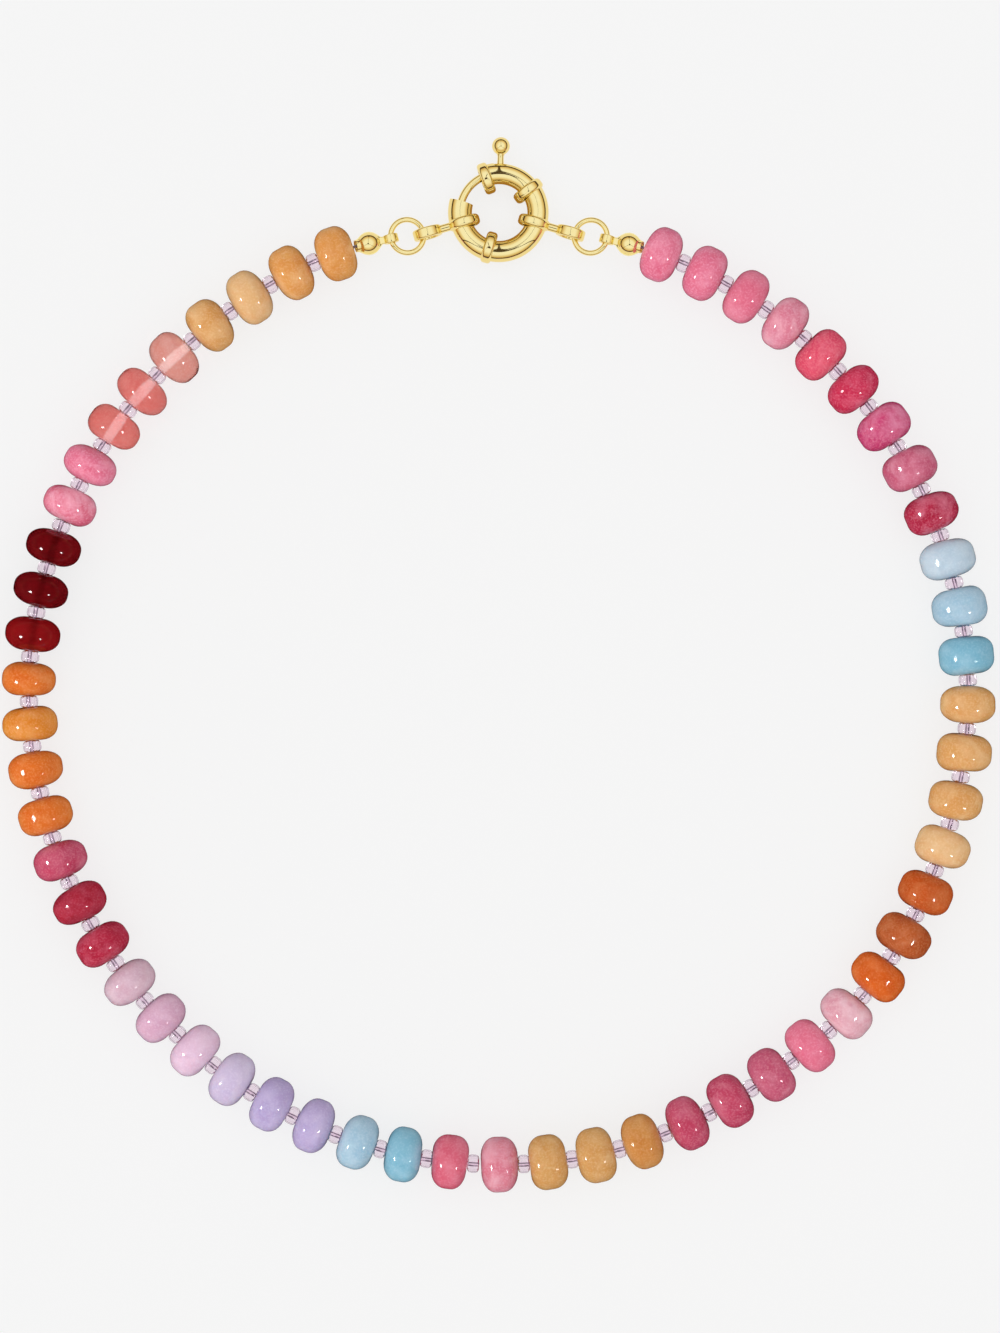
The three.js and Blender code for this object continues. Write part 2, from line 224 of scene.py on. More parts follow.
# Room: it is dark but for the table and the lights. The camera sees it as pale as the table, and what shows
# through the clear beads is about a third as pale.
room = bpy.data.worlds.new("dark_room")
room.use_nodes = True
tree = room.node_tree
tree.nodes.clear()
dark = add(tree, "ShaderNodeBackground", {"Color": linear("#5a4a36"), "Strength": 0.8})
seen = add(tree, "ShaderNodeBackground", {"Color": linear("#f5f5f5")})
rays = add(tree, "ShaderNodeLightPath")
through = add(tree, "ShaderNodeMath", {
    0: rays.outputs["Is Transmission Ray"], 1: 0.3}, operation="MULTIPLY")
pale = add(tree, "ShaderNodeMath", {
    0: rays.outputs["Is Camera Ray"], 1: through.outputs[0]}, operation="MAXIMUM")
air = add(tree, "ShaderNodeMixShader", {0: pale.outputs[0], 1: dark.outputs[0], 2: seen.outputs[0]})
add(tree, "ShaderNodeOutputWorld", {"Surface": air.outputs[0]})
bpy.context.scene.world = room

# Stringing line: the route that the thread takes through the beads, a closed loop that starts at the middle
# of the clasp and runs counter-clockwise. The pieces on it, from the clasp down each side, give its length. A
# stretch is a number of stones and how thick they are beside the usual stone.
GAP = 0.3 * MM
STONE_ACROSS = 8 * MM
STONE_THICK = 5.2 * MM
GLASS_ACROSS = 2.6 * MM
GLASS_LONG = 1.7 * MM
LEFT_STRETCHES = ((5, 1.03), (9, 0.93), (14, 0.99))
RIGHT_STRETCHES = ((6, 1), (6, 1.05), (16, 1.03))
TIP_ACROSS = 2.9 * MM
TIP_LIP = 0.5 * MM
KNOT_RADIUS = 0.7 * MM
RING_ACROSS = 4.85 * MM
RING_WIRE = 0.8 * MM
HOOK_WALL = 0.4 * MM
TIP_NECK = 0.8 * MM
CLASP_RADIUS = 5.7 * MM
WRAP_ACROSS = 4.66 * MM
WRAP_WIDE = 1.55 * MM
WRAP_INWARD = 0.4 * MM
EYE_ACROSS = 4.25 * MM
EYE_WALL = 0.7 * MM
EYE_NECK = 1.1 * MM
EYE_DROP = math.radians(16)
ROUTE = (
    (0, 63.4), (-25, 59), (-46, 45.5), (-61.2, 25.5), (-68.2, 1.5), (-65.7, -23.5), (-54.3, -46),
    (-35.5, -63), (-12.5, -72), (13, -72), (36, -62.5), (55, -46), (65.8, -23), (68, 1.5), (61, 26),
    (45.5, 46), (24.5, 59),
)

hook_radius = RING_WIRE / 2 + GAP + HOOK_WALL
eye_radius = CLASP_RADIUS - WRAP_INWARD + WRAP_ACROSS / 2 + EYE_NECK + EYE_ACROSS / 2
eye_station = eye_radius * math.cos(EYE_DROP)
wire_in_eye = EYE_ACROSS / 2 - EYE_WALL - RING_WIRE / 2 - GAP - WRAP_WIDE**2 / 4 / RING_ACROSS
ring_station = eye_station + wire_in_eye + RING_ACROSS / 2
hook_station = ring_station + RING_ACROSS / 2
tip_station = hook_station + hook_radius + TIP_NECK + TIP_ACROSS / 2
stone_station = tip_station + TIP_ACROSS / 2 + TIP_LIP + GAP

half_strings = {}
for side, stretches in ((-1, LEFT_STRETCHES), (1, RIGHT_STRETCHES)):
    stones, glasses, reach = [], [], stone_station
    for count, thick in stretches:
        for _ in range(count):
            stones.append((reach + thick * STONE_THICK / 2, thick * STONE_THICK))
            reach += thick * STONE_THICK
            glasses.append(reach + GLASS_LONG / 2)
            reach += GLASS_LONG
    half_strings[side] = stones, glasses, reach
# The left half ends in a glass bead and the right half in a stone, so the last glass on the right is left off
left_end, right_end = half_strings[-1][2], half_strings[1][2] - GLASS_LONG
half_strings[1][1].pop()
loop_long = left_end + right_end + GAP

corners = [Vector((x, y, 0)) for x, y in ROUTE]
line = []
for i, here in enumerate(corners):
    before, after, further = (corners[(i + k) % len(corners)] for k in (-1, 1, 2))
    line += geometry.interpolate_bezier(
        here, here + (after - before) / 6, after - (further - here) / 6, after, 120)[:-1]
line.append(line[0])
lengths = [0]
for a, b in zip(line, line[1:]):
    lengths.append(lengths[-1] + (b - a).length)
line = [spot * loop_long / lengths[-1] for spot in line]
lengths = [long * loop_long / lengths[-1] for long in lengths]


def spot_at(side, station):
    """A spot some way from the clasp's middle. The fittings lie low, and the string climbs to the stones."""
    along = station if side < 0 else loop_long - station
    i = min(max(bisect.bisect(lengths, along), 1), len(line) - 1)
    share = (along - lengths[i - 1]) / (lengths[i] - lengths[i - 1])
    spot = line[i - 1].lerp(line[i], share)
    climb = min(max((station - eye_station) / (stone_station - eye_station), 0), 1)
    climb = climb * climb * (3 - 2 * climb)
    spot.z = WRAP_ACROSS / 2 * (1 - climb) + STONE_MIDDLE * climb
    return spot + shift


def place_between(start, end, distance):
    """The place of a piece some way from one spot towards another: X along the string, Y level, Z up."""
    along = (end - start).normalized()
    across = Vector((0, 0, 1)).cross(along).normalized()
    place = Matrix((along, across, along.cross(across))).transposed().to_4x4()
    place.translation = start + along * distance
    return place


def place_at(side, station):
    reach = 0.5 * MM
    return place_between(spot_at(side, station - reach), spot_at(side, station + reach), reach)


# The clasp's middle is on the axis that its bolt turns about
shift = Vector((0, 0, 0))
clasp_spot = (spot_at(-1, eye_station) + spot_at(1, eye_station)) / 2
clasp_spot.y += eye_radius * math.sin(EYE_DROP)
shift = Vector(frame["record"]["behaviour"]["joints"][0]["pos_m"]) - clasp_spot
clasp_spot += shift


def ring_place(side):
    eye = clasp_spot + eye_radius * Vector((side * math.cos(EYE_DROP), -math.sin(EYE_DROP), 0))
    return place_between(eye, spot_at(side, hook_station), ring_station - eye_station)


def tip_place(side):
    hook = ring_place(side) @ Vector((RING_ACROSS / 2, 0, 0))
    return place_between(hook, spot_at(side, tip_station), tip_station - hook_station)


# Stones: 56 rondelles of dyed quartz, cut by hand, drilled, tumbled and polished, so no two are quite alike.
# The quartz is cloudy and lets light through, and the dye has run deeper in some places than in others.
STONE_HOLE = 1.0 * MM
STONE_CORNER = 2.15 * MM
STONE_STEPS = 56
BORE_CORNER = 0.15 * MM
BORE_REACH = STONE_HOLE / 2 + 0.02 * MM
DENT_DEEP = 0.1 * MM
RIPPLE_DEEP = 0.01 * MM
# Without a seed of its own the noise would differ from run to run
noise.seed_set(56)


def turned_ring(long, inner, outer, corner, bore_corner, steps, corner_steps=8, tall=1):
    """A ring turned about the X axis from an oblong section, its round corners tall times as high as wide."""
    bm = bmesh.new()
    top = inner + (outer - inner) / tall
    section = [bm.verts.new((x, 0, r)) for x, r in (
        (-long / 2, inner), (long / 2, inner), (long / 2, top), (-long / 2, top))]
    bm.faces.new(section)
    for verts, offset, segments in ((section[2:], corner, corner_steps), (section[:2], bore_corner, 3)):
        bmesh.ops.bevel(bm, geom=verts, offset=offset, segments=segments, profile=0.5,
                        affect="VERTICES", material=-1)
    bmesh.ops.delete(bm, geom=bm.faces[:], context="FACES_ONLY")
    stretch = Matrix.Translation((0, 0, inner)) @ Matrix.Diagonal((1, 1, tall, 1))
    bmesh.ops.transform(bm, matrix=stretch @ Matrix.Translation((0, 0, -inner)), verts=bm.verts)
    bmesh.ops.spin(bm, geom=bm.verts[:] + bm.edges[:], cent=(0, 0, 0), axis=(1, 0, 0),
                   angle=2 * math.pi, steps=steps, use_merge=True)
    bmesh.ops.remove_doubles(bm, verts=bm.verts, dist=1e-7)
    bmesh.ops.recalc_face_normals(bm, faces=bm.faces)
    return bm


def cut_by_hand(bm, cut):
    """Gives a stone the taper, oval and dents, 4 mm and 1.4 mm apart, that hand cutting leaves."""
    lean, oval = cut.uniform(0, 2 * math.pi), cut.uniform(0, 2 * math.pi)
    taper, squeeze = cut.uniform(0.01, 0.085), cut.uniform(0, 0.022)
    seed = Vector([cut.uniform(-50, 50) for _ in range(3)])
    for vert in bm.verts:
        across = Vector((0, vert.co.y, vert.co.z))
        turn = math.atan2(vert.co.z, vert.co.y)
        out = across.length / (STONE_ACROSS / 2)
        vert.co.x *= 1 + taper * out * math.cos(turn - lean)
        if across.length > STONE_HOLE:
            vert.co -= across * squeeze * (1 + math.cos(2 * (turn - oval))) / 2
            vert.co += noise.noise_vector(vert.co * 260 + seed) * DENT_DEEP
            vert.co += noise.noise_vector(vert.co * 700 - seed) * RIPPLE_DEEP
    tilt = Matrix.Rotation(math.radians(cut.uniform(-2.5, 2.5)), 3, "Z")
    bmesh.ops.rotate(bm, verts=bm.verts, matrix=tilt @ Matrix.Rotation(cut.uniform(-0.03, 0.03), 3, "Y"))


# Dyed quartz is glossy and cloudy: light goes in, is scattered and tinted, and comes out again nearby, so
# thin edges look paler. The tumbled surface has a good polish with very shallow waves.
def dyed_quartz(name, body, deep, pale, cloud=0.7, streak=0.4, clear=0.0, scatter=0.7):
    material, tree = new_material(name)
    place = add(tree, "ShaderNodeTexCoord").outputs["Object"]
    # Clouds of deeper dye about 3 mm across, and pale patches about 4 mm across that the dye passed by
    clouds = add(tree, "ShaderNodeTexNoise", {
        "Vector": place, "Scale": 330, "Detail": 5, "Roughness": 0.62, "Distortion": 0.5})
    dye = add(tree, "ShaderNodeMapRange", {
        "Value": clouds.outputs["Fac"], "From Min": 0.36, "From Max": 0.66, "To Max": cloud})
    patches = add(tree, "ShaderNodeTexNoise", {
        "Vector": place, "Scale": 240, "Detail": 3, "Roughness": 0.55, "Distortion": 1.1, "W": 3.7},
        noise_dimensions="4D")
    passed = add(tree, "ShaderNodeMapRange", {
        "Value": patches.outputs["Fac"], "From Min": 0.46, "From Max": 0.68, "To Max": streak})
    # Grains of the quartz, 0.3 mm, show as faint specks
    grains = add(tree, "ShaderNodeTexNoise", {"Vector": place, "Scale": 3300, "Detail": 2})
    specks = add(tree, "ShaderNodeMapRange", {
        "Value": grains.outputs["Fac"], "From Min": 0.46, "From Max": 0.76, "To Max": 0.5})
    dyed = add(tree, "ShaderNodeMix", {
        0: dye.outputs[0], 6: linear(body), 7: linear(deep)}, data_type="RGBA")
    patched = add(tree, "ShaderNodeMix", {
        0: passed.outputs[0], 6: dyed.outputs[2], 7: linear(pale)}, data_type="RGBA")
    specked = add(tree, "ShaderNodeMix", {
        0: specks.outputs[0], 6: patched.outputs[2], 7: linear(pale)}, data_type="RGBA")
    waves = add(tree, "ShaderNodeTexNoise", {"Vector": place, "Scale": 700, "Detail": 2})
    polish = add(tree, "ShaderNodeBump", {
        "Height": waves.outputs["Fac"], "Strength": 0.35, "Distance": 0.03 * MM})
    wear = add(tree, "ShaderNodeMapRange", {
        "Value": grains.outputs["Fac"], "From Min": 0.3, "From Max": 0.7, "To Min": 0.06, "To Max": 0.11})
    stone = add(tree, "ShaderNodeBsdfPrincipled", {
        "Base Color": specked.outputs[2], "Roughness": wear.outputs[0], "IOR": 1.54,
        "Subsurface Weight": 1.0, "Subsurface Radius": (1, 0.75, 0.7), "Subsurface Scale": scatter * MM,
        "Transmission Weight": clear, "Normal": polish.outputs[0]})
    add(tree, "ShaderNodeOutputMaterial", {"Surface": stone.outputs[0]})
    return material


dyes = {
    "apricot": dyed_quartz("quartz_apricot", "#d69c5a", "#cb843f", "#e5bd90"),
    "amber": dyed_quartz("quartz_amber", "#d2a168", "#cb9150", "#e4c49a"),
    "peach": dyed_quartz("quartz_peach", "#d9b283", "#d3a068", "#e6cba6"),
    "salmon": dyed_quartz("quartz_salmon", "#eea79b", "#e58e80", "#f6ccc4", clear=0.8),
    "coral": dyed_quartz("quartz_coral", "#ee8b84", "#e46d66", "#f3aca5", clear=0.8),
    "pink": dyed_quartz("quartz_pink", "#da7d96", "#d2607f", "#eeb3c4"),
    "pink_cloud": dyed_quartz("quartz_pink_cloud", "#d97a90", "#cf4f70", "#efbccb", cloud=0.9, streak=0.7),
    "garnet": dyed_quartz("quartz_garnet", "#820f15", "#5c080d", "#8d1a22", clear=0.6),
    "garnet_light": dyed_quartz("quartz_garnet_light", "#a0161a", "#7e0d12", "#a82428", clear=0.6),
    "tangerine": dyed_quartz("quartz_tangerine", "#d68b38", "#cd7726", "#e6b27a"),
    "pumpkin": dyed_quartz("quartz_pumpkin", "#d67630", "#ca6020", "#e4a26a"),
    "raspberry": dyed_quartz("quartz_raspberry", "#bd4d68", "#a93553", "#d48a9c"),
    "raspberry_soft": dyed_quartz("quartz_raspberry_soft", "#c0607a", "#b24a66", "#d898a8"),
    "crimson": dyed_quartz("quartz_crimson", "#b02f47", "#981c36", "#cc6c80"),
    "crimson_deep": dyed_quartz("quartz_crimson_deep", "#a8253a", "#8f172c", "#c0586c"),
    "crimson_grainy": dyed_quartz(
        "quartz_crimson_grainy", "#b4344f", "#9c1d3a", "#d47f94", cloud=0.9, streak=0.7),
    "dusty_rose": dyed_quartz("quartz_dusty_rose", "#cdb0bc", "#c49db0", "#ddc8d1"),
    "orchid": dyed_quartz("quartz_orchid", "#cfa8bd", "#c495ae", "#e0c6d6"),
    "orchid_pale": dyed_quartz("quartz_orchid_pale", "#d7b9cd", "#ccaac0", "#e6d0e0"),
    "lavender": dyed_quartz("quartz_lavender", "#c8bbd1", "#bcaac9", "#d8cee0"),
    "lilac": dyed_quartz("quartz_lilac", "#b4a6c9", "#a594be", "#cbc0da"),
    "sky": dyed_quartz("quartz_sky", "#a8c0cf", "#8fb2c6", "#c0d3de"),
    "aqua": dyed_quartz("quartz_aqua", "#86b4c6", "#6fa8be", "#a9c8d6"),
    "ice": dyed_quartz("quartz_ice", "#b9c8d3", "#a9bccb", "#ccd7e0"),
    "rose": dyed_quartz("quartz_rose", "#d06c81", "#c75068", "#dd98a6"),
    "rose_fade": dyed_quartz("quartz_rose_fade", "#d18896", "#cb697f", "#dfb0bb", streak=0.7),
    "rose_pink": dyed_quartz("quartz_rose_pink", "#d97a92", "#cf5f7b", "#e7a4b4"),
    "honey": dyed_quartz("quartz_honey", "#cb9c63", "#c08a4b", "#dcbd91"),
    "toffee": dyed_quartz("quartz_toffee", "#c68c50", "#ba793a", "#d7ab78"),
    "rust": dyed_quartz("quartz_rust", "#d06527", "#bd5016", "#dd8f5c"),
    "rust_deep": dyed_quartz("quartz_rust_deep", "#bf5824", "#a84715", "#d08455"),
    "chestnut": dyed_quartz("quartz_chestnut", "#b65e32", "#a04a20", "#cc8a62", cloud=0.9),
    "shell": dyed_quartz("quartz_shell", "#d6a6b1", "#d08c9c", "#e8cad1", streak=0.7),
    "blush": dyed_quartz("quartz_blush", "#d68b9e", "#ce7289", "#eabdc8", streak=0.6),
    "magenta": dyed_quartz("quartz_magenta", "#c44875", "#b53062", "#dc94ae", cloud=0.9, streak=0.7),
    "mauve": dyed_quartz("quartz_mauve", "#c4657f", "#b34d6c", "#d99bad", streak=0.6),
    "cherry": dyed_quartz("quartz_cherry", "#c73c5b", "#b52547", "#dc7f95", cloud=0.9, streak=0.6),
    "hot_pink": dyed_quartz("quartz_hot_pink", "#d8566e", "#cb3d5b", "#e794a2"),
}
# From the clasp down, first on the left and then on the right
left_dyes = (
    "apricot apricot peach amber salmon coral coral pink pink_cloud garnet garnet garnet_light "
    "pumpkin tangerine pumpkin pumpkin raspberry crimson_deep crimson dusty_rose orchid orchid_pale "
    "lavender lilac lilac sky aqua rose").split()
right_dyes = (
    "pink pink rose_pink blush hot_pink cherry magenta mauve crimson_grainy ice sky aqua "
    "amber amber amber peach rust_deep chestnut rust shell rose_pink raspberry_soft raspberry "
    "raspberry toffee honey honey rose_fade").split()

# The drilled hole isn't polished. In the two clearest quartzes its white wall shows as a pale band, because
# it catches the light that the stone gathers; a faint glow stands for that light.
drilled_quartz, tree = new_material("drilled_quartz")
place = add(tree, "ShaderNodeTexCoord").outputs["Object"]
scratches = add(tree, "ShaderNodeTexNoise", {"Vector": place, "Scale": 4000, "Detail": 2})
rough = add(tree, "ShaderNodeBump", {
    "Height": scratches.outputs["Fac"], "Strength": 0.6, "Distance": 0.04 * MM})
bore = add(tree, "ShaderNodeBsdfPrincipled", {
    "Base Color": linear("#fbf0ee"), "Roughness": 0.65, "IOR": 1.54, "Normal": rough.outputs[0],
    "Emission Color": linear("#c4f4ff"), "Emission Strength": 0.6})
add(tree, "ShaderNodeOutputMaterial", {"Surface": bore.outputs[0]})

for side, side_name, chart in ((-1, "left", left_dyes), (1, "right", right_dyes)):
    for number, ((station, thick), dye) in enumerate(zip(half_strings[side][0], chart), 1):
        cut = random.Random(f"{side_name} {number}")
        bm = turned_ring(thick, STONE_HOLE / 2, STONE_ACROSS / 2, STONE_CORNER, BORE_CORNER, STONE_STEPS,
                         tall=cut.uniform(1.05, 1.4))
        for face in bm.faces:
            middle = face.calc_center_median()
            in_bore = math.hypot(middle.y, middle.z) < BORE_REACH
            face.material_index = int(in_bore and dye in ("salmon", "coral"))
        cut_by_hand(bm, cut)
        bmesh.ops.transform(bm, matrix=place_at(side, station), verts=bm.verts)
        stone = make_piece(f"stone_{side_name}_{number:02d}", bm, dyes[dye], drilled_quartz)
        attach(stone, "necklace")
        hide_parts(f"stone_string_{side_name}")
        strung.objects.link(stone)

# Glass beads: 55 short lengths of clear, faintly pink drawn glass with their ends melted round. They keep
# the stones apart. Drawing the glass leaves fine flutes along it, which break up what is seen through it.
GLASS_HOLE = 0.8 * MM
GLASS_CORNER = 0.6 * MM
FLUTES = 12
FLUTE_SHARE = 0.028


def join(whole, part, place):
    """Puts a part in its place in a larger bmesh."""
    bmesh.ops.transform(part, matrix=place, verts=part.verts)
    mesh = bpy.data.meshes.new("part")
    part.to_mesh(mesh)
    part.free()
    whole.from_mesh(mesh)
    bpy.data.meshes.remove(mesh)


drawn_glass, tree = new_material("drawn_glass")
glass = add(tree, "ShaderNodeBsdfPrincipled", {
    "Base Color": linear("#f5e6f1"), "Roughness": 0.04, "IOR": 1.51, "Transmission Weight": 1.0})
add(tree, "ShaderNodeOutputMaterial", {"Surface": glass.outputs[0]})

for side, side_name in ((-1, "left"), (1, "right")):
    whole = bmesh.new()
    for station in half_strings[side][1]:
        bm = turned_ring(GLASS_LONG, GLASS_HOLE / 2, GLASS_ACROSS / 2, GLASS_CORNER, 0.1 * MM, 96, 6)
        for vert in bm.verts:
            flute = math.cos(FLUTES * math.atan2(vert.co.z, vert.co.y))
            vert.co.yz *= 1 + FLUTE_SHARE * flute
        join(whole, bm, place_at(side, station))
    beads = make_piece(f"glass_beads_{side_name}", whole, drawn_glass, sharp=50)
    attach(beads, "necklace")
    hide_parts(f"stone_string_{side_name}")
    strung.objects.link(beads)

# Thread: silver-grey nylon of two twisted plies runs through all the beads and is knotted inside each bead
# tip. Little of it shows, in the glass beads. Each half of the string has a length of its own.
THREAD_ACROSS = 0.5 * MM
PLY_TURN = 1.6 * MM
PLY_STEP = 0.3 * MM
KNOT_LUMPS = 0.12 * MM
twisted_nylon, tree = new_material("twisted_nylon")
place = add(tree, "ShaderNodeTexCoord").outputs["Object"]
fibres = add(tree, "ShaderNodeTexNoise", {"Vector": place, "Scale": 9000, "Detail": 3})
fuzz = add(tree, "ShaderNodeBump", {"Height": fibres.outputs["Fac"], "Strength": 0.5, "Distance": 0.03 * MM})
shade = add(tree, "ShaderNodeMix", {
    0: fibres.outputs["Fac"], 6: linear("#8d8593"), 7: linear("#b9b2bd")}, data_type="RGBA")
nylon = add(tree, "ShaderNodeBsdfPrincipled", {
    "Base Color": shade.outputs[2], "Roughness": 0.45, "IOR": 1.53, "Sheen Weight": 0.2,
    "Normal": fuzz.outputs[0]})
add(tree, "ShaderNodeOutputMaterial", {"Surface": nylon.outputs[0]})

for side, side_name, end in ((-1, "left", left_end), (1, "right", right_end)):
    whole = bmesh.new()
    for ply in (0, 1):
        strand = bpy.data.curves.new("ply", "CURVE")
        strand.dimensions = "3D"
        strand.bevel_depth = THREAD_ACROSS / 4
        strand.bevel_resolution = 1
        strand.use_fill_caps = True
        start = tip_station + PLY_STEP
        count = int((end - start) / PLY_STEP)
        spline = strand.splines.new("POLY")
        spline.points.add(count)
        for i, point in enumerate(spline.points):
            station = start + (end - start) * i / count
            turn = 2 * math.pi * station / PLY_TURN + ply * math.pi
            place = tip_place(side) @ Matrix.Translation((station - tip_station, 0, 0))
            if station > stone_station:
                place = place_at(side, station)
            off_middle = Vector((0, math.cos(turn), math.sin(turn))) * THREAD_ACROSS / 4
            point.co = (*(place @ off_middle), 1)
        holder = bpy.data.objects.new("ply", strand)
        mesh = bpy.data.meshes.new_from_object(holder)
        whole.from_mesh(mesh)
        bpy.data.objects.remove(holder)
        bpy.data.meshes.remove(mesh)
    knot = bmesh.new()
    bmesh.ops.create_icosphere(knot, subdivisions=3, radius=KNOT_RADIUS)
    for vert in knot.verts:
        vert.co += noise.noise_vector(vert.co * 2500) * KNOT_LUMPS
    join(whole, knot, tip_place(side))
    thread = make_piece(f"thread_{side_name}", whole, twisted_nylon, sharp=70)
    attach(thread, "necklace")
    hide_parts(f"stone_string_{side_name}")

# Bead tips: each end knot sits in a pressed brass clamshell, a ball in a boat-shaped cup. The cup runs out
# in a collar towards the stones and in a strip on the other side, whose end is rolled round the jump ring.
pale_gold, tree = new_material("pale_gold_plate")
# Pale gold plate is a bright mirror, with a faint buffing haze and hairline scratches that are drawn 0.1 mm
# apart so that they show at all.
place = add(tree, "ShaderNodeTexCoord").outputs["Object"]
haze = add(tree, "ShaderNodeTexNoise", {"Vector": place, "Scale": 900, "Detail": 3})
gloss = add(tree, "ShaderNodeMapRange", {
    "Value": haze.outputs["Fac"], "From Min": 0.3, "From Max": 0.7, "To Min": 0.02, "To Max": 0.05})
hairlines = add(tree, "ShaderNodeTexNoise", {"Vector": place, "Scale": 9000, "Detail": 2})
buffed = add(tree, "ShaderNodeBump", {
    "Height": hairlines.outputs["Fac"], "Strength": 0.05, "Distance": 0.01 * MM})
tint = add(tree, "ShaderNodeMix", {
    0: haze.outputs["Fac"], 6: linear("#fcefb4"), 7: linear("#f8e6a2")}, data_type="RGBA")
gold = add(tree, "ShaderNodeBsdfPrincipled", {
    "Base Color": tint.outputs[2], "Metallic": 1.0, "Roughness": gloss.outputs[0],
    "Normal": buffed.outputs[0]})
add(tree, "ShaderNodeOutputMaterial", {"Surface": gold.outputs[0]})

CUP_WALL = 0.16 * MM
# The cup's outline from the strip, round the ball, to the collar's end: millimetres along and out from the
# string. It is turned a little more than half round, so the cup is open at the top.
CUP_OUTLINE = (
    (-2.25, 0.5), (-1.9, 0.62), (-1.45, 1.05), (-0.9, 1.47), (-0.3, 1.68), (0.3, 1.68), (0.85, 1.48),
    (1.3, 1.17), (1.65, 0.94), (2.05, 0.87),
)
CUP_HALF_TURN = math.radians(98)
BALL_LONG = 3.4 * MM
BALL_WIDE = 3.1 * MM
COLLAR_ACROSS = 1.75 * MM
COLLAR_HOLE = 1.1 * MM
COLLAR_LONG = 0.95 * MM
STRIP_LONG = 1.5 * MM
STRIP_WIDE = 1.05 * MM
STRIP_OUT = 0.35 * MM
HOOK_WIDE = 1.25 * MM
for side, side_name in ((-1, "left"), (1, "right")):
    whole = bmesh.new()
    ball = bmesh.new()
    bmesh.ops.create_uvsphere(ball, u_segments=40, v_segments=24, radius=1,
                              matrix=Matrix.Rotation(math.pi / 2, 4, "Y"))
    join(whole, ball, Matrix.Diagonal((BALL_LONG / 2, BALL_WIDE / 2, TIP_ACROSS / 2, 1)))
    cup = bmesh.new()
    chain = [cup.verts.new((x * MM, 0, -r * MM)) for x, r in CUP_OUTLINE]
    links = [cup.edges.new(pair) for pair in zip(chain, chain[1:])]
    bmesh.ops.subdivide_edges(cup, edges=links, cuts=3, smooth=1.0)
    bmesh.ops.rotate(cup, verts=cup.verts, matrix=Matrix.Rotation(-CUP_HALF_TURN, 3, "X"))
    bmesh.ops.spin(cup, geom=cup.verts[:] + cup.edges[:], axis=(1, 0, 0), angle=2 * CUP_HALF_TURN, steps=32)
    bmesh.ops.recalc_face_normals(cup, faces=cup.faces)
    bmesh.ops.solidify(cup, geom=cup.faces[:], thickness=CUP_WALL)
    join(whole, cup, Matrix())
    collar = turned_ring(COLLAR_LONG, COLLAR_HOLE / 2, COLLAR_ACROSS / 2, 0.06 * MM, 0.04 * MM, 40, 3)
    join(whole, collar, Matrix.Translation((TIP_ACROSS / 2 + TIP_LIP - COLLAR_LONG / 2, 0, 0)))
    strip = bmesh.new()
    bmesh.ops.create_cube(strip, size=1, matrix=Matrix.Diagonal((STRIP_LONG, STRIP_WIDE, HOOK_WALL, 1)))
    bmesh.ops.bevel(strip, geom=strip.edges[:], offset=0.12 * MM, segments=3, profile=0.5,
                    affect="EDGES", material=-1)
    join(whole, strip, Matrix.Translation((-TIP_ACROSS / 2 - STRIP_OUT, 0, 0)))
    hook = turned_ring(HOOK_WIDE, hook_radius - HOOK_WALL, hook_radius, 0.14 * MM, 0.1 * MM, 48, 4)
    hook_turn = Matrix.Rotation(math.pi / 2, 4, "Z")
    join(whole, hook, Matrix.Translation((hook_station - tip_station, 0, 0)) @ hook_turn)
    bmesh.ops.transform(whole, matrix=tip_place(side), verts=whole.verts)
    tip = make_piece(f"clamshell_{side_name}", whole, pale_gold)
    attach(tip, "necklace")
    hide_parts(f"bead_tip_{side_name}")
    metal.objects.link(tip)

# Jump rings: round brass wire bent to a ring, soldered shut and gilt. One goes through the hook of each bead
# tip and the eye of the clasp beside it.
for side, side_name in ((-1, "left"), (1, "right")):
    bm = bmesh.new()
    wire = Matrix.Translation((RING_ACROSS / 2, 0, 0)) @ Matrix.Rotation(math.pi / 2, 4, "X")
    bmesh.ops.create_circle(bm, segments=24, radius=RING_WIRE / 2, matrix=wire)
    bmesh.ops.spin(bm, geom=bm.verts[:] + bm.edges[:], axis=(0, 0, 1), angle=2 * math.pi, steps=96,
                   use_merge=True)
    bmesh.ops.remove_doubles(bm, verts=bm.verts, dist=1e-7)
    bmesh.ops.recalc_face_normals(bm, faces=bm.faces)
    bmesh.ops.transform(bm, matrix=ring_place(side), verts=bm.verts)
    ring = make_piece(f"wire_ring_{side_name}", bm, pale_gold)
    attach(ring, "necklace")
    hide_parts(f"jump_ring_{side_name}")
    metal.objects.link(ring)

# Clasp body: a curved brass tube that holds the bolt and its spring, and a wider sleeve that takes the bolt's
# end. Half-round wire is soldered round them in five places, and two of these wraps carry an eye. Places on
# the ring are given as angles in degrees, from +X counter-clockwise.
TUBE_ACROSS = 3.1 * MM
TUBE_WALL = 0.45 * MM
SLEEVE_ACROSS = 3.5 * MM
SLEEVE_WALL = 0.55 * MM
MOUTH = 110.5
SLEEVE_START = 164.5
LEFT_EYE = 196
LOWER_WRAP = 254
UPPER_WRAP = 36.5
TRIGGER = 88.3
BOLT_TRAVEL = 39
SLOT_SPREAD = 8
SLOT_HALF = TUBE_ACROSS / 4
WRAP_CORNER = 0.5 * MM
EYE_CORNER = 0.3 * MM
EYE_NECK_ACROSS = 1.2 * MM


